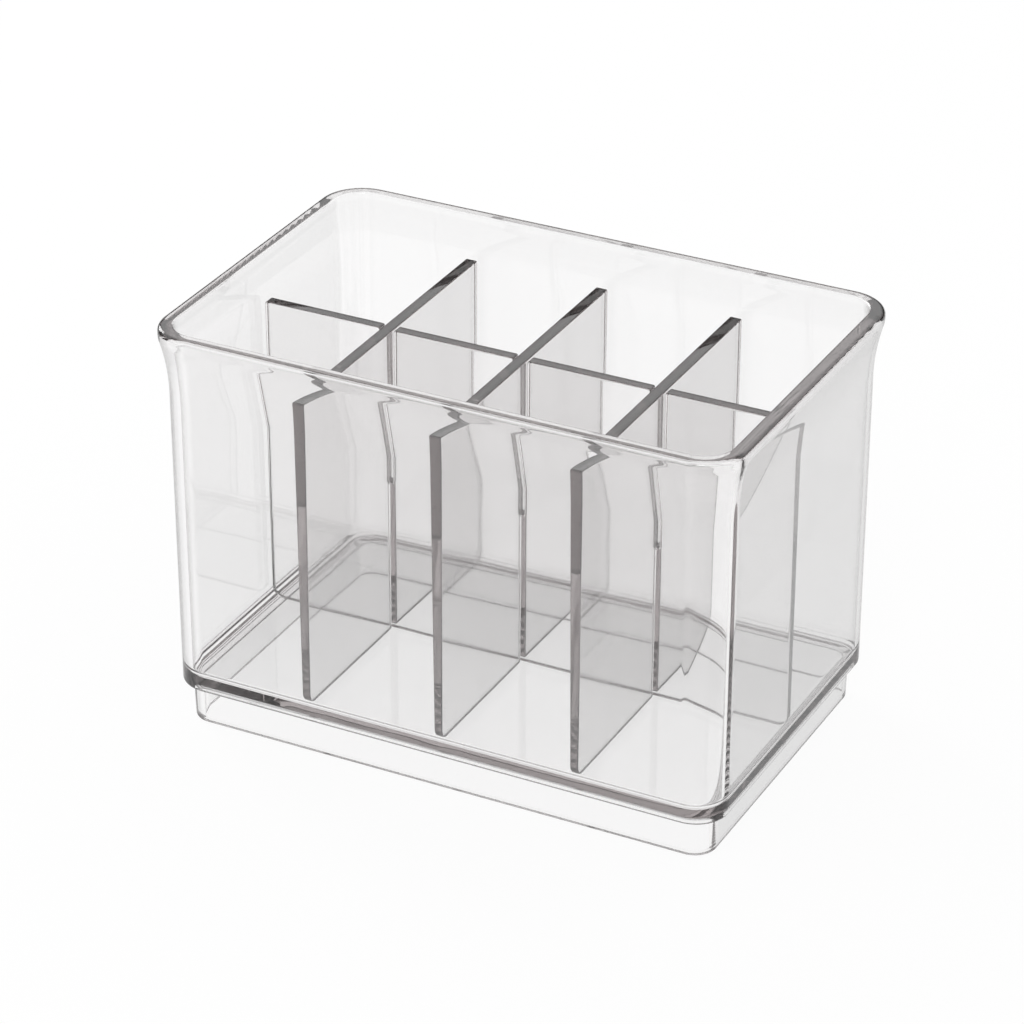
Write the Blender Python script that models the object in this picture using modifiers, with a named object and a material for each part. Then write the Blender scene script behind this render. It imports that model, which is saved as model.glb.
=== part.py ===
"""Clear stackable vanity bin with a lift-out insert of four slotted divider plates.

The bin is one moulding: a wall profile carried round a rounded rectangle, closed by its floor.
The insert is a long plate and three cross plates, which half-lap each other and stand on the floor.
Metres, +Z up. The origin is on the table, under the middle of the bin. X runs along the bin.
"""
import math

import bmesh
import bpy

# Bin sizes
BASE_LENGTH = 0.118             # outside of the end walls at the ledge
BASE_WIDTH = 0.075              # outside of the front and back walls at the ledge
BIN_HEIGHT = 0.086              # table to the top of the rim
WALL_THICKNESS = 0.002
FLOOR_THICKNESS = 0.0023
INNER_CORNER_RADIUS = 0.005     # upright corners, measured inside
WALL_DRAFT_SHARE = 0.0035       # how far the walls lean out, as a share of their height
FLOOR_FILLET = 0.002            # between the walls and the floor, inside
LEDGE_EDGE_RADIUS = 0.0009      # lower outside edge of the walls

# Foot skirt under the ledge, hollow, which drops inside the rim of a bin below
FOOT_HEIGHT = 0.0082
FOOT_INSET = 0.0021             # ledge left outside the skirt
FOOT_THICKNESS = 0.0018
FOOT_DRAFT_SHARE = 0.03
FOOT_EDGE_RADIUS = 0.0005
FOOT_FILLET = 0.001             # between the skirt and the underside of the floor
FLOOR_EDGE_MARGIN = 0.0003      # flat floor left outside the middle panel, inside the fillets

# Rim and the flare below it
RIM_WIDTH = 0.0031              # across the top, from the inside to the outside
RIM_OUTER_RADIUS = 0.0011
RIM_INNER_RADIUS = 0.0004
LIP_HEIGHT = 0.0023             # height of the rim's outer face
LIP_OUT = 0.00015               # how far the lip stands out from the flare
FLARE_OUT = 0.0016              # how far the wall sweeps out below the lip
FLARE_LENGTH = 0.012            # height of that sweep

# Divider plates
PLATE_TOP_BELOW_RIM = 0.0089    # leaves room for the foot of a bin stacked on top
PLATE_TOP_THICKNESS = 0.0025
PLATE_BOTTOM_THICKNESS = 0.00165
PLATE_CORNER_RADIUS = 0.0024    # lower corners, which clear the fillet at the floor
PLATE_EDGE_RADIUS = 0.0003
SLOT_DEPTH_SHARE = 0.5          # of the plate's height
CROSS_PLATE_NAMES = ("left", "middle", "right")

# Clearances
SEAT_GAP = 0.0003               # under the plates and where the slots meet
SLOT_CLEARANCE = 0.0003         # each side of a plate in a slot
END_CLEARANCE = 0.0008          # each end of a plate to the wall
CUT_OVERRUN = 0.001

# Smoothness of curved stretches, in steps
CORNER_STEPS = 10
ARC_STEPS = 4
FLARE_STEPS = 7
BEVEL_STEPS = 2
SHARP_ANGLE = 30                # degrees between faces from which the bin's edges are drawn sharp
BEVEL_ANGLE = 40                # degrees between faces from which a plate's edges are rounded
MERGE_DISTANCE = 0.000003

# Clear styrene as the photo shows it: colourless, glossy
CLEAR_COLOUR = (0.93, 0.94, 0.94, 1.0)
CLEAR_ROUGHNESS = 0.04
CLEAR_METALLIC = 0.0
CLEAR_TRANSMISSION = 1.0
CLEAR_INDEX = 1.57


def arc(centre_u, centre_z, radius, start, end):
    """Points of an arc in the wall's section, both ends included; angles in degrees from outward."""
    points = []
    for step in range(ARC_STEPS + 1):
        angle = math.radians(start + (end - start) * step / ARC_STEPS)
        points.append((centre_u + radius * math.cos(angle), centre_z + radius * math.sin(angle)))
    return points


def floor_top():
    return FOOT_HEIGHT + FLOOR_THICKNESS


def lean(height):
    """How far the wall's outer face stands outside the ledge at a height, without the flare."""
    return WALL_DRAFT_SHARE * (height - FOOT_HEIGHT)


def wall_section():
    """The bin's section as (outward, up) points, from the floor's top over the rim to its underside.

    Outward is measured from the walls' outer face at the ledge.
    """
    lip_bottom = BIN_HEIGHT - LIP_HEIGHT
    flare_bottom = lip_bottom - FLARE_LENGTH
    rim_outside = lean(lip_bottom) + FLARE_OUT + LIP_OUT
    rim_inside = rim_outside - RIM_WIDTH
    inner_flare = rim_inside - (lean(lip_bottom) - WALL_THICKNESS)
    foot_outside = -FOOT_INSET - FOOT_DRAFT_SHARE * FOOT_HEIGHT
    foot_inside = foot_outside - FOOT_THICKNESS
    floor_edge = min(-WALL_THICKNESS - FLOOR_FILLET, foot_inside - FOOT_FILLET)
    floor_edge -= FLOOR_EDGE_MARGIN

    points = [(floor_edge, floor_top())]
    points += arc(-WALL_THICKNESS - FLOOR_FILLET, floor_top() + FLOOR_FILLET, FLOOR_FILLET, -90, 0)
    for step in range(FLARE_STEPS):
        share = step / FLARE_STEPS
        height = flare_bottom + FLARE_LENGTH * share
        points.append((lean(height) - WALL_THICKNESS + inner_flare * share ** 2, height))
    points += arc(rim_inside + RIM_INNER_RADIUS, BIN_HEIGHT - RIM_INNER_RADIUS, RIM_INNER_RADIUS, 180, 90)
    points += arc(rim_outside - RIM_OUTER_RADIUS, BIN_HEIGHT - RIM_OUTER_RADIUS, RIM_OUTER_RADIUS, 90, 0)
    points += arc(rim_outside - LIP_OUT, lip_bottom + LIP_OUT, LIP_OUT, 0, -90)
    for step in range(1, FLARE_STEPS + 1):
        share = 1 - step / FLARE_STEPS
        height = flare_bottom + FLARE_LENGTH * share
        points.append((lean(height) + FLARE_OUT * share ** 2, height))
    points += arc(-LEDGE_EDGE_RADIUS, FOOT_HEIGHT + LEDGE_EDGE_RADIUS, LEDGE_EDGE_RADIUS, 0, -90)
    points.append((-FOOT_INSET, FOOT_HEIGHT))
    points += arc(foot_outside - FOOT_EDGE_RADIUS, FOOT_EDGE_RADIUS, FOOT_EDGE_RADIUS, 0, -90)
    points += arc(foot_inside + FOOT_EDGE_RADIUS, FOOT_EDGE_RADIUS, FOOT_EDGE_RADIUS, -90, -180)
    points += arc(foot_inside - FOOT_FILLET, FOOT_HEIGHT - FOOT_FILLET, FOOT_FILLET, 0, 90)
    points.append((floor_edge, FOOT_HEIGHT))
    return points


def rounded_rectangle(length, width, radius):
    """Points of a rounded rectangle about the origin, counter-clockwise seen from above."""
    points = []
    for corner, (side_x, side_y) in enumerate(((1, 1), (-1, 1), (-1, -1), (1, -1))):
        centre_x = side_x * (length / 2 - radius)
        centre_y = side_y * (width / 2 - radius)
        for step in range(CORNER_STEPS + 1):
            angle = math.radians(90 * (corner + step / CORNER_STEPS))
            points.append((centre_x + radius * math.cos(angle), centre_y + radius * math.sin(angle)))
    return points


def poly_curve(name, points, closed):
    """A flat curve object of straight steps through the points."""
    data = bpy.data.curves.new(name, "CURVE")
    data.dimensions = "2D"
    data.fill_mode = "NONE"
    spline = data.splines.new("POLY")
    spline.points.add(len(points) - 1)
    for point, (across, along) in zip(spline.points, points):
        point.co = (across, along, 0, 1)
    spline.use_cyclic_u = closed
    curve = bpy.data.objects.new(name, data)
    bpy.context.scene.collection.objects.link(curve)
    return curve


def mesh_from(curve):
    """A mesh made of a curve as it is evaluated; the curve is removed."""
    depsgraph = bpy.context.evaluated_depsgraph_get()
    mesh = bpy.data.meshes.new_from_object(curve.evaluated_get(depsgraph))
    bpy.data.objects.remove(curve)
    return mesh


def clear_material(name):
    material = bpy.data.materials.new(name)
    material.use_nodes = True
    shader = material.node_tree.nodes["Principled BSDF"]
    shader.inputs["Base Color"].default_value = CLEAR_COLOUR
    shader.inputs["Roughness"].default_value = CLEAR_ROUGHNESS
    shader.inputs["Metallic"].default_value = CLEAR_METALLIC
    shader.inputs["Transmission Weight"].default_value = CLEAR_TRANSMISSION
    shader.inputs["IOR"].default_value = CLEAR_INDEX
    return material


def make_bin(collection):
    """The section swept round the outline, with its two open loops closed by the floor's faces.

    A sweep lays its section's +X towards the inside of a counter-clockwise outline.
    """
    section_points = [(-outward, up) for outward, up in wall_section()]
    section = poly_curve("wall_section", section_points, closed=False)
    radius = INNER_CORNER_RADIUS + WALL_THICKNESS
    outline = poly_curve("bin_outline", rounded_rectangle(BASE_LENGTH, BASE_WIDTH, radius), closed=True)
    outline.data.bevel_mode = "OBJECT"
    outline.data.bevel_object = section
    mesh = mesh_from(outline)
    bpy.data.objects.remove(section)
    mesh.name = "stackable_bin"

    shape = bmesh.new()
    shape.from_mesh(mesh)
    bmesh.ops.remove_doubles(shape, verts=shape.verts, dist=MERGE_DISTANCE)
    open_edges = [edge for edge in shape.edges if edge.is_boundary]
    bmesh.ops.holes_fill(shape, edges=open_edges, sides=0)
    bmesh.ops.recalc_face_normals(shape, faces=shape.faces)
    shape.to_mesh(mesh)
    shape.free()
    mesh.materials.clear()
    mesh.materials.append(clear_material("clear_styrene_bin"))
    mesh.shade_smooth()
    mesh.set_sharp_from_angle(angle=math.radians(SHARP_ANGLE))
    bin_object = bpy.data.objects.new("stackable_bin", mesh)
    collection.objects.link(bin_object)
    return bin_object


def plate_bottom():
    return floor_top() + SEAT_GAP


def plate_height():
    return BIN_HEIGHT - PLATE_TOP_BELOW_RIM - plate_bottom()


def plate_thickness(height):
    """A plate's thickness at a height above its lower edge: it tapers, thicker at the top."""
    taper = (PLATE_TOP_THICKNESS - PLATE_BOTTOM_THICKNESS) / plate_height()
    return PLATE_BOTTOM_THICKNESS + taper * height


def tapered_block(name, length, bottom_thickness, top_thickness, bottom, top):
    """A block along X, with its own thickness at the bottom and at the top, as a mesh."""
    shape = bmesh.new()
    bmesh.ops.create_cube(shape, size=1)
    for vertex in shape.verts:
        at_top = vertex.co.z > 0
        vertex.co.x *= length
        vertex.co.y *= top_thickness if at_top else bottom_thickness
        vertex.co.z = top if at_top else bottom
    mesh = bpy.data.meshes.new(name)
    shape.to_mesh(mesh)
    shape.free()
    return mesh


def round_lower_corners(mesh, radius):
    """Rounds the two lower corners of a plate, seen square on."""
    shape = bmesh.new()
    shape.from_mesh(mesh)
    across = [edge for edge in shape.edges
              if all(vertex.co.z == 0 for vertex in edge.verts)
              and edge.verts[0].co.x == edge.verts[1].co.x]
    bmesh.ops.bevel(shape, geom=across, offset=radius, offset_type="OFFSET",
                    segments=ARC_STEPS, profile=0.5, affect="EDGES")
    shape.to_mesh(mesh)
    shape.free()


def make_plate(name, length, slots, collection, cutters, material):
    """A divider plate along X with its lower edge at Z 0, cut by (place, cutter mesh) slots."""
    mesh = tapered_block(name, length, PLATE_BOTTOM_THICKNESS, PLATE_TOP_THICKNESS, 0, plate_height())
    round_lower_corners(mesh, PLATE_CORNER_RADIUS)
    mesh.materials.append(material)
    plate = bpy.data.objects.new(name, mesh)
    collection.objects.link(plate)
    for number, (place, cutter_mesh) in enumerate(slots, start=1):
        cutter = bpy.data.objects.new(f"{name}_slot_{number}", cutter_mesh)
        cutter.location.x = place
        cutter.rotation_euler.z = math.radians(90)
        cutter.parent = plate
        cutter.hide_render = True
        cutter.display_type = "WIRE"
        cutters.objects.link(cutter)
        cut = plate.modifiers.new(f"slot_{number}", "BOOLEAN")
        cut.operation = "DIFFERENCE"
        cut.solver = "EXACT"
        cut.object = cutter
    edges = plate.modifiers.new("moulded_edges", "BEVEL")
    edges.width = PLATE_EDGE_RADIUS
    edges.segments = BEVEL_STEPS
    edges.limit_method = "ANGLE"
    edges.angle_limit = math.radians(BEVEL_ANGLE)
    return plate


def slot_length():
    """Long enough to cut through a plate at its thickest."""
    return PLATE_TOP_THICKNESS + 2 * CUT_OVERRUN


def upper_slot():
    """Cutter for a slot open at the top, which follows the taper of the plate that drops in."""
    bottom = plate_height() * (1 - SLOT_DEPTH_SHARE) - SEAT_GAP / 2
    top = plate_height() + CUT_OVERRUN
    return tapered_block("upper_slot", slot_length(),
                         plate_thickness(bottom) + 2 * SLOT_CLEARANCE,
                         plate_thickness(top) + 2 * SLOT_CLEARANCE, bottom, top)


def lower_slot():
    """Cutter for a slot open at the bottom, wide enough to pass the plate below at mid height."""
    top = plate_height() * (1 - SLOT_DEPTH_SHARE) + SEAT_GAP / 2
    width = plate_thickness(top) + 2 * SLOT_CLEARANCE
    return tapered_block("lower_slot", slot_length(), width, width, -CUT_OVERRUN, top)


def inside_at_floor(outside):
    """Clear size between opposite walls just above the floor."""
    return outside - 2 * WALL_THICKNESS


def cross_places():
    """Places of the cross plates along X that make all the compartments equally long."""
    count = len(CROSS_PLATE_NAMES)
    pitch = (inside_at_floor(BASE_LENGTH) + plate_thickness(plate_height() / 2)) / (count + 1)
    return [pitch * (number - (count - 1) / 2) for number in range(count)]


def make_insert(bin_object, collection, cutters):
    """The long plate, and the cross plates that ride on it."""
    long_length = inside_at_floor(BASE_LENGTH) - 2 * END_CLEARANCE
    cross_length = inside_at_floor(BASE_WIDTH) - 2 * END_CLEARANCE
    long_plate = make_plate("long_divider", long_length, [(place, upper_slot()) for place in cross_places()],
                            collection, cutters, clear_material("clear_styrene_long_divider"))
    long_plate.parent = bin_object
    long_plate.location.z = plate_bottom()
    for name, place in zip(CROSS_PLATE_NAMES, cross_places()):
        cross_plate = make_plate(f"cross_divider_{name}", cross_length, [(0, lower_slot())],
                                 collection, cutters, clear_material(f"clear_styrene_{name}_divider"))
        cross_plate.parent = long_plate
        cross_plate.location.x = place
        cross_plate.rotation_euler.z = math.radians(90)


def main():
    for leftover in list(bpy.data.objects):
        bpy.data.objects.remove(leftover)
    collection = bpy.data.collections.new("divided_bin")
    cutters = bpy.data.collections.new("cutters")
    bpy.context.scene.collection.children.link(collection)
    bpy.context.scene.collection.children.link(cutters)
    bin_object = make_bin(collection)
    make_insert(bin_object, collection, cutters)


main()
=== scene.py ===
"""Clear moulded vanity bin with a lift-out insert of slotted divider plates, and a studio for it.

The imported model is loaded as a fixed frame. Each of its nodes is replaced by a finer surface of
the same sizes in clear moulded plastic, and every piece rides on the body of its node.
"""
import math

import bpy
import numpy as np
from bpy.props import FloatProperty, FloatVectorProperty, PointerProperty
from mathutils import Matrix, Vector


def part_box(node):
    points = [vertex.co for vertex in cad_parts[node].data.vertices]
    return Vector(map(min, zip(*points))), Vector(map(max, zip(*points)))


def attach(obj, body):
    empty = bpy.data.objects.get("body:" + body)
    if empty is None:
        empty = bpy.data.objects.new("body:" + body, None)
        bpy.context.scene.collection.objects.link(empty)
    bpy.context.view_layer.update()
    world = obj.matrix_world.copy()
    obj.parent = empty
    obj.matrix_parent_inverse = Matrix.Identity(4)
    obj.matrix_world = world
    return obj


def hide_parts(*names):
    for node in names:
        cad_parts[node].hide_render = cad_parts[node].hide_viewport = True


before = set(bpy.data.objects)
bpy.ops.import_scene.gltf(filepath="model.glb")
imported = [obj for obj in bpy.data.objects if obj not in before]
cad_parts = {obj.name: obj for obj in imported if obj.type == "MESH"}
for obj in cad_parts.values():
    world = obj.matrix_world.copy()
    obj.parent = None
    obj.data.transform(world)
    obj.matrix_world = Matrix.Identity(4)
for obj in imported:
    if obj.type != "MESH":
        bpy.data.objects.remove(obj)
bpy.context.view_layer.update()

bl_info = {
    "name": "Divided Vanity Bin",
    "version": (1, 0, 0),
    "blender": (4, 5, 0),
    "location": "3D View > Sidebar > Divided Bin",
    "description": "Builds a clear stackable bin, its slotted divider plates and a studio round the packed frame",
    "category": "Add Mesh",
}

# Frame: the box of the whole model, and the nodes with their bodies and slots
BIN_LOW, BIN_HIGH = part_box("stackable_bin")
LONG_LOW, LONG_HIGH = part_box("long_divider")
CROSS_PLATES = (
    ("cross_divider_left", "left_plate", "clear_styrene_left_divider"),
    ("cross_divider_middle", "middle_plate", "clear_styrene_middle_divider"),
    ("cross_divider_right", "right_plate", "clear_styrene_right_divider"),
)

# Fineness of the surfaces, and how close to a flat's ends lie the points that keep its shading flat
ARC_STEP = math.radians(9)
ARC_FEWEST = 5
CORNER_POINTS = 19
FLARE_POINTS = 25
EDGE_POINTS = 6
HOLD = 0.00008
LONG_STRETCH = 10 * HOLD
CORNER_HOLD = 0.0003
EDGE_HOLD = 0.00006

# Camera, from the fit to the rim, the foot and the walls' lines
IMAGE_WIDTH = 1024
SENSOR_WIDTH = 36.0
FOCAL_PIXELS = 4115.0
VIEW_YAW = math.radians(27.11)
VIEW_TILT = math.radians(28.69)
VIEW_DISTANCE = 0.803
VIEW_AIM = Vector((-0.0023, 0.0, 0.0429))


def linear(text):
    """Linear colour and full alpha of an sRGB hex value such as #E2DFE1."""
    channels = [int(text[place:place + 2], 16) / 255 for place in (1, 3, 5)]
    return tuple(c / 12.92 if c <= 0.04045 else ((c + 0.055) / 1.055) ** 2.4 for c in channels) + (1.0,)


class BinSizes(bpy.types.PropertyGroup):
    """Sizes of the moulded bin."""

    base_length: FloatProperty(
        name="Base length", description="Outside length of the walls at the ledge", default=0.118, unit="LENGTH")
    base_width: FloatProperty(
        name="Base width", description="Outside width of the walls at the ledge", default=0.075, unit="LENGTH")
    corner_radius: FloatProperty(
        name="Corner radius", description="Outside radius of the upright corners", default=0.007, unit="LENGTH")
    wall: FloatProperty(
        name="Wall thickness", description="Thickness of the four walls", default=0.002, unit="LENGTH")
    floor: FloatProperty(
        name="Floor thickness", description="Thickness of the floor", default=0.0023, unit="LENGTH")
    floor_fillet: FloatProperty(
        name="Floor fillet", description="Inside radius where the walls meet the floor", default=0.002, unit="LENGTH")
    draft: FloatProperty(
        name="Wall draft", description="Way out of a wall for each unit of height", default=0.0035, precision=4)
    ledge_edge: FloatProperty(
        name="Ledge edge", description="Radius of the walls' lower outside edge", default=0.0009, unit="LENGTH")
    foot_height: FloatProperty(
        name="Foot height", description="Height of the hollow foot below the ledge", default=0.0082, unit="LENGTH")
    foot_inset: FloatProperty(
        name="Foot inset", description="Way in from the ledge's edge to the foot", default=0.0021, unit="LENGTH")
    foot_wall: FloatProperty(
        name="Foot thickness", description="Thickness of the foot's wall", default=0.0018, unit="LENGTH")
    foot_draft: FloatProperty(
        name="Foot draft", description="Way in of the foot for each unit of depth", default=0.03, precision=3)
    rim_width: FloatProperty(
        name="Rim width", description="Width of the thick rim", default=0.0031, unit="LENGTH")
    lip_height: FloatProperty(
        name="Lip height", description="Height of the rim's outside face", default=0.0023, unit="LENGTH")
    lip_blend: FloatProperty(
        name="Lip blend", description="Radius between the rim's outside face and the flare", default=0.0035,
        unit="LENGTH")
    flare_length: FloatProperty(
        name="Flare length", description="Height over which the walls flare out to the rim", default=0.012,
        unit="LENGTH")


class PlateSizes(bpy.types.PropertyGroup):
    """Sizes of the divider plates."""

    top_thickness: FloatProperty(
        name="Top thickness", description="Thickness of a plate at its upper edge", default=0.0025, unit="LENGTH")
    bottom_thickness: FloatProperty(
        name="Bottom thickness", description="Thickness of a plate at its lower edge", default=0.00165, unit="LENGTH")
    lower_corner: FloatProperty(
        name="Lower corner radius", description="Radius that clears the bin's floor fillet", default=0.0024,
        unit="LENGTH")
    upper_corner: FloatProperty(
        name="Upper corner radius", description="Radius of the plates' upper corners", default=0.0005, unit="LENGTH")
    edge_radius: FloatProperty(
        name="Edge radius", description="Rounding of the edges round each face", default=0.0003, unit="LENGTH")
    slot_corner: FloatProperty(
        name="Slot corner radius", description="Radius of the corners of the slots", default=0.0004, unit="LENGTH")
    slot_clearance: FloatProperty(
        name="Slot clearance", description="Air on each side of a plate in its slot", default=0.0003, unit="LENGTH")
    seat_gap: FloatProperty(
        name="Seat gap", description="Air between the ends of two slots that cross", default=0.0003, unit="LENGTH")


class PlasticFinishAndShade(bpy.types.PropertyGroup):
    """Finish of the clear moulded plastic, and the shade painted on it at glancing angles."""

    tint: FloatVectorProperty(
        name="Edge colour", description="Colour that a long way through the plastic leaves of white", size=4,
        subtype="COLOR", default=linear("#E4E1E1"), min=0, max=1)
    # Painted shade: a dark grey that the plastic's base colour is mixed towards at glancing angles, for the dark
    # edges clear plastic picks up from its surroundings
    graze_painted_shade: FloatVectorProperty(
        name="Painted grazing shade", description="Shade painted on the plastic where it is seen at a glancing angle", size=4,
        subtype="COLOR", default=linear("#3F3C3A"), min=0, max=1)
    bin_absorption: FloatProperty(
        name="Bin absorption", description="Share of light that the bin's plastic takes up for each metre",
        default=55.0, min=0)
    plate_absorption: FloatProperty(
        name="Plate absorption", description="Share of light that the plates' greyer plastic takes up for each metre",
        default=120.0, min=0)
    plate_roughness: FloatProperty(
        name="Plate roughness", description="Faint roughness that evens out the plates' edges", default=0.03,
        subtype="FACTOR", min=0, max=1)
    wave_width: FloatProperty(
        name="Wave width", description="Width of the mould's broad waves", default=0.014, unit="LENGTH")
    wave_depth: FloatProperty(
        name="Wave depth", description="Depth of the mould's broad waves", default=0.00002, precision=6,
        unit="LENGTH")


class StudioLook(bpy.types.PropertyGroup):
    """Colours and light of the studio."""

    floor_colour: FloatVectorProperty(
        name="Floor colour", description="Colour of the paper sweep", size=4, subtype="COLOR",
        default=linear("#F6F6F6"), min=0, max=1)
    floor_glow: FloatProperty(
        name="Floor glow", description="Share of plain white in the floor as the camera and clear pieces see it",
        default=0.93, subtype="FACTOR", min=0, max=1)
    band: FloatProperty(
        name="Light band", description="Level of the light band round the room", default=1.7, min=0, max=4)
    dim: FloatProperty(
        name="Dim room", description="Level of the room above and below the light band", default=0.12,
        subtype="FACTOR", min=0, max=1)
    upper: FloatProperty(
        name="Upper room", description="Level of the upper room as it is seen through the clear pieces", default=0.8,
        min=0, max=4)


# Surfaces

def rounded_path(corners, closed):
    """Corner points (a, b, radius) joined by straight lines, each corner replaced by a tangent arc.

    An arc starts radius * tan(turn / 2) before its corner and steps evenly through the turn.
    """
    points = np.array([corner[:2] for corner in corners], float)
    radii = np.array([corner[2] for corner in corners], float)
    count = len(points)
    pieces = []
    for index in range(count):
        if radii[index] == 0 or not closed and index in (0, count - 1):
            pieces.append(points[index][None])
            continue
        before = points[index] - points[index - 1]
        after = points[(index + 1) % count] - points[index]
        before /= np.linalg.norm(before)
        after /= np.linalg.norm(after)
        turn = math.atan2(before[0] * after[1] - before[1] * after[0], before @ after)
        start = points[index] - before * radii[index] * math.tan(abs(turn) / 2)
        side = np.array([-before[1], before[0]]) * math.copysign(radii[index], turn)
        angles = np.linspace(0, abs(turn), max(ARC_FEWEST, round(abs(turn) / ARC_STEP)) + 1)[:, None]
        pieces.append(start + side * (1 - np.cos(angles)) + before * radii[index] * np.sin(angles))
    return np.concatenate(pieces)


def with_holds(path, closed):
    """The path with two more points close to the ends of each long straight stretch.

    They keep smooth shading flat on the flats: start, start + HOLD, end - HOLD, end.
    """
    starts = path if closed else path[:-1]
    along = (np.roll(path, -1, 0) if closed else path[1:]) - starts
    length = np.linalg.norm(along, axis=1, keepdims=True)
    inset = along / length * HOLD
    rows = np.stack([starts, starts + inset, starts + along - inset], 1)
    keep = np.ones(rows.shape[:2], bool)
    keep[:, 1:] = length > LONG_STRETCH
    return rows[keep] if closed else np.concatenate([rows[keep], path[-1:]])


# Small radii of the bin's section, and where its flat floor starts
RIM_INNER = 0.0004
RIM_OUTER = 0.0011
RIM_THROAT = 0.004
FOOT_ROOT = 0.0002
FOOT_EDGE = 0.0005
FOOT_FILLET = 0.001
FLOOR_START = 0.0004


def wall_section(sizes):
    """Section of wall, rim, ledge and foot as points (out, up), from the floor's top round to its underside.

    out is measured from the wall's outside at the ledge. A wall leans out by draft * height, and over
    the flare's length it goes out by the square of the share of the way up as well.
    """
    top = BIN_HIGH.z
    ledge = sizes.foot_height
    floor_top = ledge + sizes.floor
    lip_bottom = top - sizes.lip_height
    rim_outside = (BIN_HIGH.x - BIN_LOW.x - sizes.base_length) / 2
    rim_inside = rim_outside - sizes.rim_width
    foot_outside = -sizes.foot_inset - sizes.foot_draft * ledge
    foot_inside = foot_outside - sizes.foot_wall
    edge = foot_inside - FOOT_FILLET - FLOOR_START

    share = np.linspace(0, 1, FLARE_POINTS)
    height = lip_bottom - sizes.flare_length * (1 - share)
    lean = sizes.draft * (height - ledge)
    inner_flare = rim_inside - lean[-1] + sizes.wall
    outer_flare = rim_outside - lean[-1]
    inner = np.stack([lean - sizes.wall + inner_flare * share ** 2, height, 0 * share], 1)
    outer = np.stack([lean + outer_flare * share ** 2, height, 0 * share], 1)[::-1]
    inner[-1, 2] = RIM_THROAT
    outer[0, 2] = sizes.lip_blend

    corners = [(edge, floor_top, 0), (-sizes.wall, floor_top, sizes.floor_fillet), *inner,
               (rim_inside, top, RIM_INNER), (rim_outside, top, RIM_OUTER), *outer,
               (0, ledge, sizes.ledge_edge), (-sizes.foot_inset, ledge, FOOT_ROOT),
               (foot_outside, 0, FOOT_EDGE), (foot_inside, 0, FOOT_EDGE), (foot_inside, ledge, FOOT_FILLET),
               (edge, ledge, 0)]
    return with_holds(rounded_path(corners, closed=False), closed=False)


def corner_path(sizes):
    """Centres and outward normals round a rectangle with round corners, counter-clockwise from above.

    On a corner the centre stays and the normal turns by a right angle; on a side the normal stays.
    """
    half_x = sizes.base_length / 2 - sizes.corner_radius
    half_y = sizes.base_width / 2 - sizes.corner_radius
    corners = np.array([(half_x, half_y), (-half_x, half_y), (-half_x, -half_y), (half_x, -half_y)])
    ahead = np.roll(corners, -1, 0) - corners
    length = np.linalg.norm(ahead, axis=1)[:, None]
    share = np.concatenate([CORNER_HOLD / length, 0 * length + 1 / 3, 0 * length + 2 / 3,
                            1 - CORNER_HOLD / length], 1)
    on_side = corners[:, None] + ahead[:, None] * share[..., None]
    on_corner = np.repeat(corners[:, None], CORNER_POINTS, 1)
    start = np.arange(4)[:, None] * math.pi / 2
    angle = start + np.linspace(0, math.pi / 2, CORNER_POINTS)[None]
    angle = np.concatenate([angle, np.repeat(angle[:, -1:], share.shape[1], 1)], 1)
    centres = np.concatenate([on_corner, on_side], 1).reshape(-1, 2)
    return centres, np.stack([np.cos(angle), np.sin(angle)], -1).reshape(-1, 2)


def strips(rings, around):
    """Quads of a grid of closed rings: each point, the next one round, and both on the ring after."""
    ring = np.arange(rings - 1)[:, None] * around
    step = np.arange(around)[None]
    after = (step + 1) % around
    return np.stack([ring + step, ring + after, ring + around + after, ring + around + step], -1).reshape(-1, 4)


def bin_surface(sizes):
    """Vertices and faces of the bin: its section carried round the corner path.

    A point is centre + (corner radius + out) * normal, at height up. Two flat faces close the floor.
    """
    section = wall_section(sizes)
    centres, normals = corner_path(sizes)
    flat = centres[None] + (sizes.corner_radius + section[:, :1, None]) * normals[None]
    up = np.broadcast_to(section[:, 1, None, None], flat.shape[:2] + (1,))
    around = len(centres)
    last = (len(section) - 1) * around
    faces = strips(len(section), around)[:, ::-1].tolist()
    faces += [list(range(around)), list(range(last, last + around))[::-1]]
    return np.concatenate([flat, up], 2).reshape(-1, 3), faces


def slot_corners(place, inner, mouth, open_at, end, radius):
    """The four corners of a slot, from left to right: its half width is mouth at the open side, inner at its end."""
    return [(place - mouth, open_at, radius), (place - inner, end, radius),
            (place + inner, end, radius), (place + mouth, open_at, radius)]


def middle_half(sizes):
    """Half a plate's thickness at the height where the slots end."""
    return (sizes.top_thickness + sizes.bottom_thickness) / 4


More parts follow.
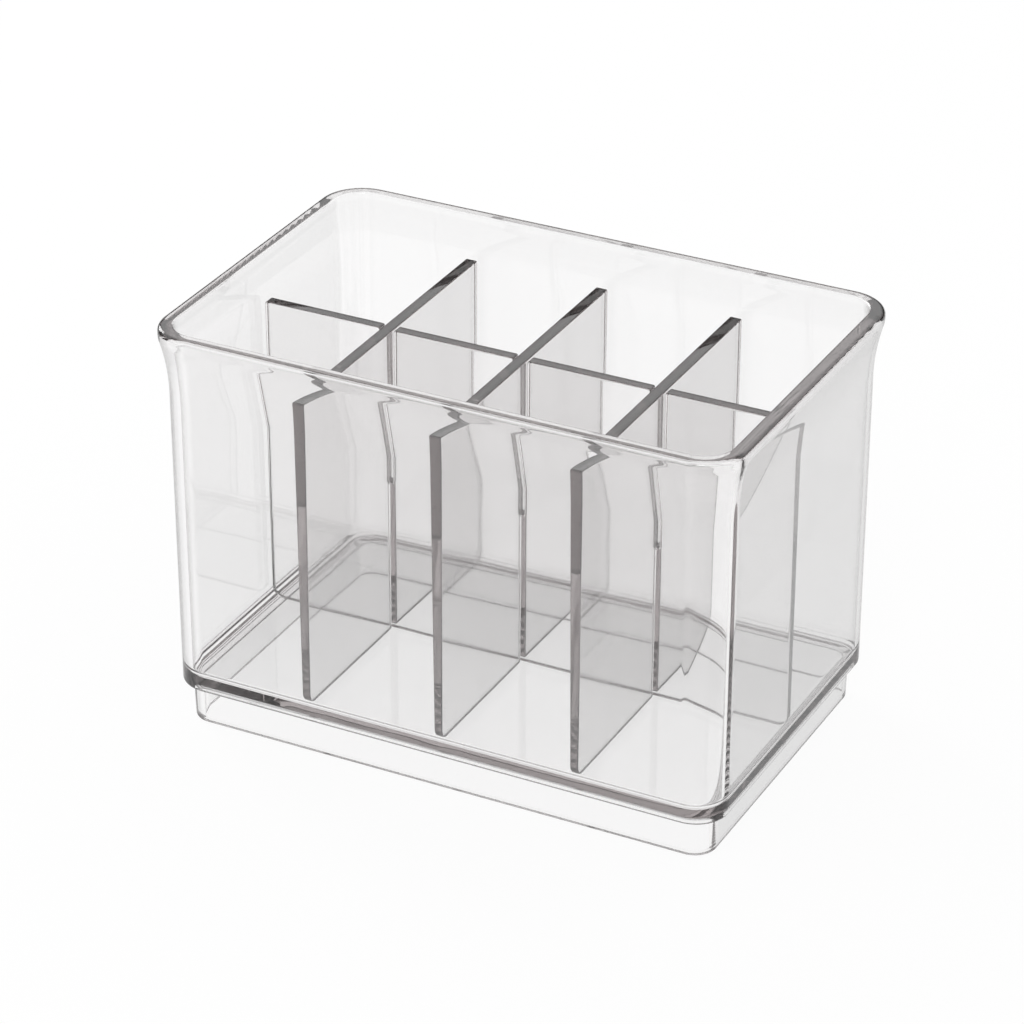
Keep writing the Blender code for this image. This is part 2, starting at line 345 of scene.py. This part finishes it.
def plate_surface(length, slots, from_top, sizes):
    """Vertices and faces of a plate along X: its outline with slots, drawn in to round the edges of both faces.

    slots holds (place, half width at the slot's end, half width at its mouth). A ring lies
    edge radius * (1 - sin a) inside the outline and edge radius * (1 - cos a) below the face, and the
    thickness goes evenly from bottom to top.
    """
    low, high = LONG_LOW.z, LONG_HIGH.z
    end = (low + high) / 2 + sizes.seat_gap / 2 * (-1 if from_top else 1)
    open_at = high if from_top else low
    cuts = [slot_corners(*slot, open_at, end, sizes.slot_corner) for slot in slots]
    under = [(-length / 2, low, sizes.lower_corner), (length / 2, low, sizes.lower_corner)]
    over = [(length / 2, high, sizes.upper_corner), (-length / 2, high, sizes.upper_corner)]
    if from_top:
        corners = under + over[:1] + [corner for cut in reversed(cuts) for corner in reversed(cut)] + over[1:]
    else:
        corners = under[:1] + [corner for cut in cuts for corner in cut] + under[1:] + over
    path = with_holds(rounded_path(corners, closed=True), closed=True)

    ahead = np.roll(path, -1, 0) - path
    ahead /= np.linalg.norm(ahead, axis=1, keepdims=True)
    along = ahead + np.roll(ahead, 1, 0)
    along /= np.linalg.norm(along, axis=1, keepdims=True)
    inward = np.stack([-along[:, 1], along[:, 0]], 1)
    turn = np.linspace(0, math.pi / 2, EDGE_POINTS)
    inset = np.concatenate([[sizes.edge_radius + EDGE_HOLD], sizes.edge_radius * (1 - np.sin(turn))])
    drop = np.concatenate([[0], sizes.edge_radius * (1 - np.cos(turn))])
    side = np.repeat([1, -1], len(drop))
    inset = np.concatenate([inset, inset[::-1]])
    drop = np.concatenate([drop, drop[::-1]])
    ring = path[None] + inset[:, None, None] * inward[None]
    share = (ring[..., 1] - low) / (high - low)
    thickness = sizes.bottom_thickness + (sizes.top_thickness - sizes.bottom_thickness) * share
    across = side[:, None] * (thickness / 2 - drop[:, None])
    around = len(path)
    last = (len(inset) - 1) * around
    faces = strips(len(inset), around).tolist()
    faces += [list(range(around))[::-1], list(range(last, last + around))]
    return np.stack([ring[..., 0], across, ring[..., 1]], -1).reshape(-1, 3), faces


def make_piece(name, vertices, faces, body, node, material):
    """A smooth mesh object that replaces a node and rides on its body."""
    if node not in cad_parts:
        raise RuntimeError("the frame has no node " + node)
    mesh = bpy.data.meshes.new(name)
    mesh.from_pydata(vertices.tolist(), [], faces)
    mesh.shade_smooth()
    mesh.materials.append(material)
    piece = bpy.data.objects.new(name, mesh)
    bpy.context.scene.collection.objects.link(piece)
    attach(piece, body)
    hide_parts(node)


# Materials

def add_node(tree, kind, links=(), **settings):
    """Add a node with its settings, and link or set its inputs."""
    node = tree.nodes.new(kind)
    for name, value in settings.items():
        setattr(node, name, value)
    for socket, value in links:
        if isinstance(value, bpy.types.NodeSocket):
            tree.links.new(value, node.inputs[socket])
        else:
            node.inputs[socket].default_value = value
    return node


BIN_PLASTIC = "injection_moulded_crystal_styrene"
PLATE_PLASTIC = "injection_moulded_greyish_styrene"
STYRENE_IOR = 1.57
BIN_ROUGHNESS = 0.0
WAVE_DETAIL = 1.0
# Facing value past which the plastic's base colour is painted darker as shade
GRAZE_SHADE_START = 0.43


def clear_styrene(name, absorption, roughness, finish_and_shade):
    """Crystal polystyrene, injection moulded in a polished mould.

    The eye gets glass-clear walls, soft grey edges where it looks along the plastic, partly from real
    absorption and partly from painted shade, and faint broad waves in what is seen through it. The more it
    absorbs, the darker its edges. Past GRAZE_SHADE_START the base colour is painted darker towards a glancing
    angle: painted shade that stands in for the dark surroundings which clear edges reflect.
    """
    material = bpy.data.materials.get(name)
    if material:
        return material
    material = bpy.data.materials.new(name)
    material.use_nodes = True
    tree = material.node_tree
    tree.nodes.clear()
    place = add_node(tree, "ShaderNodeTexCoord")
    waves = add_node(tree, "ShaderNodeTexNoise", [
        ("Vector", place.outputs["Object"]), ("Scale", 1 / finish_and_shade.wave_width),
        ("Detail", WAVE_DETAIL)])
    bump = add_node(tree, "ShaderNodeBump", [
        ("Height", waves.outputs["Fac"]), ("Distance", finish_and_shade.wave_depth), ("Strength", 1.0)])
    facing = add_node(tree, "ShaderNodeLayerWeight", [("Normal", bump.outputs["Normal"])])
    # Painted shade: towards a glancing angle the base colour is mixed towards a dark grey
    graze = add_node(tree, "ShaderNodeMapRange", [
        ("Value", facing.outputs["Facing"]), ("From Min", GRAZE_SHADE_START), ("From Max", 1.0)])
    colour = add_node(tree, "ShaderNodeMix", [
        ("Factor", graze.outputs["Result"]), ("A", (1.0, 1.0, 1.0, 1.0)), ("B", tuple(finish_and_shade.graze_painted_shade))],
        data_type="RGBA")
    surface = add_node(tree, "ShaderNodeBsdfPrincipled", [
        ("Base Color", colour.outputs["Result"]), ("Roughness", roughness), ("IOR", STYRENE_IOR),
        ("Transmission Weight", 1.0), ("Normal", bump.outputs["Normal"])])
    depth = add_node(tree, "ShaderNodeVolumeAbsorption", [
        ("Color", tuple(finish_and_shade.tint)), ("Density", absorption)])
    add_node(tree, "ShaderNodeOutputMaterial", [
        ("Surface", surface.outputs["BSDF"]), ("Volume", depth.outputs["Volume"])])
    return material


def bin_plastic(finish_and_shade):
    """The clearer moulding of the bin."""
    return clear_styrene(BIN_PLASTIC, finish_and_shade.bin_absorption, BIN_ROUGHNESS, finish_and_shade)


def plate_plastic(finish_and_shade):
    """The slightly greyer moulding of the plates."""
    return clear_styrene(PLATE_PLASTIC, finish_and_shade.plate_absorption, finish_and_shade.plate_roughness, finish_and_shade)


# Studio

# The floor, the heights at which the room's light changes, and how often light may bounce
FLOOR_SIZE = 4.0
FLOOR_DROP = 0.0001
BAND_RISE = (0.2, 0.45)
BAND_FALL = (0.65, 0.9)
UPPER_RISE = (0.505, 0.53)
CLEAR_BOUNCES = 64
GLOSSY_BOUNCES = 64
# Name, place, size and power in watts
SOFTBOXES = (
    ("left_softbox", (-1.1, 0.5, 0.5), (0.35, 0.6), 4.0),
    ("front_softbox", (0.35, -1.0, 0.9), (0.4, 0.4), 3.0),
)


def paper_floor(look):
    """Matt white paper sweep under soft light: it shows as white, and keeps a faint shadow."""
    half = FLOOR_SIZE / 2
    mesh = bpy.data.meshes.new("paper_sweep")
    mesh.from_pydata([(-half, -half, -FLOOR_DROP), (half, -half, -FLOOR_DROP), (half, half, -FLOOR_DROP),
                      (-half, half, -FLOOR_DROP)], [], [(0, 1, 2, 3)])
    floor = bpy.data.objects.new("paper_sweep", mesh)
    bpy.context.scene.collection.objects.link(floor)
    material = bpy.data.materials.new("matt_white_paper")
    material.use_nodes = True
    mesh.materials.append(material)
    tree = material.node_tree
    tree.nodes.clear()
    path = add_node(tree, "ShaderNodeLightPath")
    mirror = add_node(tree, "ShaderNodeMath", [
        (0, path.outputs["Is Camera Ray"]), (1, path.outputs["Is Glossy Ray"])], operation="MAXIMUM")
    seen = add_node(tree, "ShaderNodeMath", [
        (0, mirror.outputs[0]), (1, path.outputs["Is Transmission Ray"])], operation="MAXIMUM")
    share = add_node(tree, "ShaderNodeMath", [(0, seen.outputs[0]), (1, look.floor_glow)], operation="MULTIPLY")
    paper = add_node(tree, "ShaderNodeBsdfDiffuse", [("Color", tuple(look.floor_colour))])
    white = add_node(tree, "ShaderNodeEmission", [("Color", (1.0, 1.0, 1.0, 1.0)), ("Strength", 1.0)])
    mix = add_node(tree, "ShaderNodeMixShader", [
        (0, share.outputs[0]), (1, paper.outputs[0]), (2, white.outputs[0])])
    add_node(tree, "ShaderNodeOutputMaterial", [("Surface", mix.outputs[0])])


def room(look):
    """The room: white to the camera, dim with a lighter upper part through the clear pieces, and else dim
    with a light band round it.

    The band rises over BAND_RISE and falls over BAND_FALL, and the upper part begins over UPPER_RISE. In
    all of these straight down is 0, the horizon 0.5 and straight up 1.
    """
    world = bpy.data.worlds.new("studio_room")
    bpy.context.scene.world = world
    world.use_nodes = True
    tree = world.node_tree
    tree.nodes.clear()
    path = add_node(tree, "ShaderNodeLightPath")
    place = add_node(tree, "ShaderNodeTexCoord")
    axes = add_node(tree, "ShaderNodeSeparateXYZ", [("Vector", place.outputs["Generated"])])
    rise = add_node(tree, "ShaderNodeMapRange", [
        ("Value", axes.outputs["Z"]), ("From Min", BAND_RISE[0]), ("From Max", BAND_RISE[1])])
    fall = add_node(tree, "ShaderNodeMapRange", [
        ("Value", axes.outputs["Z"]), ("From Min", BAND_FALL[1]), ("From Max", BAND_FALL[0])])
    band = add_node(tree, "ShaderNodeMath", [
        (0, rise.outputs["Result"]), (1, fall.outputs["Result"])], operation="MINIMUM")
    level = add_node(tree, "ShaderNodeMapRange", [
        ("Value", band.outputs[0]), ("To Min", look.dim), ("To Max", look.band)])
    upper = add_node(tree, "ShaderNodeMapRange", [
        ("Value", axes.outputs["Z"]), ("From Min", UPPER_RISE[0]), ("From Max", UPPER_RISE[1]),
        ("To Min", look.dim), ("To Max", look.upper)])
    hidden = add_node(tree, "ShaderNodeMix", [
        ("Factor", path.outputs["Is Transmission Ray"]), ("A", level.outputs["Result"]),
        ("B", upper.outputs["Result"])])
    white = add_node(tree, "ShaderNodeBackground", [("Color", (1.0, 1.0, 1.0, 1.0)), ("Strength", 1.0)])
    walls = add_node(tree, "ShaderNodeBackground", [
        ("Color", (1.0, 1.0, 1.0, 1.0)), ("Strength", hidden.outputs["Result"])])
    mix = add_node(tree, "ShaderNodeMixShader", [
        (0, path.outputs["Is Camera Ray"]), (1, walls.outputs[0]), (2, white.outputs[0])])
    add_node(tree, "ShaderNodeOutputWorld", [("Surface", mix.outputs[0])])


def softbox(name, place, size, power):
    """A soft rectangular lamp that looks at the bin's middle and doesn't glare through the clear pieces."""
    light = bpy.data.lights.new(name, "AREA")
    light.shape = "RECTANGLE"
    light.size, light.size_y = size
    light.energy = power
    lamp = bpy.data.objects.new(name, light)
    lamp.location = place
    lamp.rotation_euler = (VIEW_AIM - Vector(place)).to_track_quat("-Z", "Y").to_euler()
    lamp.visible_transmission = False
    bpy.context.scene.collection.objects.link(lamp)


# Operators

class DIVIDEDBIN_OT_bin(bpy.types.Operator):
    """Build the moulded bin with its flared rim, ledge and hollow foot"""
    bl_idname = "divided_bin.moulded_bin"
    bl_label = "Moulded Bin"

    def execute(self, context):
        vertices, faces = bin_surface(context.scene.bin_sizes)
        make_piece("moulded_bin", vertices, faces, "bin", "stackable_bin",
                   bin_plastic(context.scene.plastic_finish))
        return {"FINISHED"}


class DIVIDEDBIN_OT_long_plate(bpy.types.Operator):
    """Build the long divider plate with a slot from its top for each cross plate"""
    bl_idname = "divided_bin.long_plate"
    bl_label = "Long Divider Plate"

    def execute(self, context):
        sizes = context.scene.plate_sizes
        inner = middle_half(sizes) + sizes.slot_clearance
        mouth = sizes.top_thickness / 2 + sizes.slot_clearance
        slots = [(sum(corner.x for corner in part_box(node)) / 2, inner, mouth) for node, _, _ in CROSS_PLATES]
        vertices, faces = plate_surface(LONG_HIGH.x - LONG_LOW.x, slots, True, sizes)
        make_piece("moulded_long_plate", vertices, faces, "long_plate", "long_divider",
                   plate_plastic(context.scene.plastic_finish))
        return {"FINISHED"}


class DIVIDEDBIN_OT_cross_plates(bpy.types.Operator):
    """Build the three cross divider plates, each with one slot from below"""
    bl_idname = "divided_bin.cross_plates"
    bl_label = "Cross Divider Plates"

    def execute(self, context):
        sizes = context.scene.plate_sizes
        half = middle_half(sizes) + sizes.slot_clearance
        for node, body, slot in CROSS_PLATES:
            low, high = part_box(node)
            vertices, faces = plate_surface(high.y - low.y, [(0, half, half)], False, sizes)
            turned = np.stack([(low.x + high.x) / 2 - vertices[:, 1], vertices[:, 0], vertices[:, 2]], 1)
            make_piece("moulded_" + body, turned, faces, body, node,
                       plate_plastic(context.scene.plastic_finish))
        return {"FINISHED"}


class DIVIDEDBIN_OT_studio(bpy.types.Operator):
    """Build the floor, the room, the softboxes and the camera"""
    bl_idname = "divided_bin.studio"
    bl_label = "Studio"

    def execute(self, context):
        scene = context.scene
        paper_floor(scene.studio_look)
        room(scene.studio_look)
        for name, place, size, power in SOFTBOXES:
            softbox(name, place, size, power)

        lens = bpy.data.cameras.new("photo_view")
        lens.sensor_width = SENSOR_WIDTH
        lens.lens = FOCAL_PIXELS / IMAGE_WIDTH * SENSOR_WIDTH
        camera = bpy.data.objects.new("photo_view", lens)
        away = Vector((math.sin(VIEW_YAW) * math.cos(VIEW_TILT), -math.cos(VIEW_YAW) * math.cos(VIEW_TILT),
                       math.sin(VIEW_TILT)))
        camera.location = VIEW_AIM + away * VIEW_DISTANCE
        camera.rotation_euler = (math.pi / 2 - VIEW_TILT, 0, VIEW_YAW)
        scene.collection.objects.link(camera)
        scene.camera = camera
        scene.view_settings.view_transform = "Standard"
        scene.cycles.max_bounces = CLEAR_BOUNCES
        scene.cycles.transmission_bounces = CLEAR_BOUNCES
        scene.cycles.glossy_bounces = GLOSSY_BOUNCES
        return {"FINISHED"}


class DIVIDEDBIN_PT_panel(bpy.types.Panel):
    """Sizes, colours and operators of the divided bin"""
    bl_idname = "DIVIDEDBIN_PT_panel"
    bl_label = "Divided Bin"
    bl_space_type = "VIEW_3D"
    bl_region_type = "UI"
    bl_category = "Divided Bin"

    def draw(self, context):
        for attribute, group in GROUPS:
            box = self.layout.box()
            for name in group.__annotations__:
                box.prop(getattr(context.scene, attribute), name)
        for operator in OPERATORS:
            self.layout.operator(operator.bl_idname)


GROUPS = (("bin_sizes", BinSizes), ("plate_sizes", PlateSizes), ("plastic_finish", PlasticFinishAndShade),
          ("studio_look", StudioLook))
OPERATORS = (DIVIDEDBIN_OT_bin, DIVIDEDBIN_OT_long_plate, DIVIDEDBIN_OT_cross_plates, DIVIDEDBIN_OT_studio)


def register():
    for attribute, group in GROUPS:
        bpy.utils.register_class(group)
        setattr(bpy.types.Scene, attribute, PointerProperty(type=group))
    for kind in (*OPERATORS, DIVIDEDBIN_PT_panel):
        bpy.utils.register_class(kind)


def unregister():
    for kind in (DIVIDEDBIN_PT_panel, *reversed(OPERATORS)):
        bpy.utils.unregister_class(kind)
    for attribute, group in reversed(GROUPS):
        delattr(bpy.types.Scene, attribute)
        bpy.utils.unregister_class(group)


def main():
    register()
    bpy.ops.divided_bin.moulded_bin()
    bpy.ops.divided_bin.long_plate()
    bpy.ops.divided_bin.cross_plates()
    bpy.ops.divided_bin.studio()


if __name__ == "__main__":
    main()
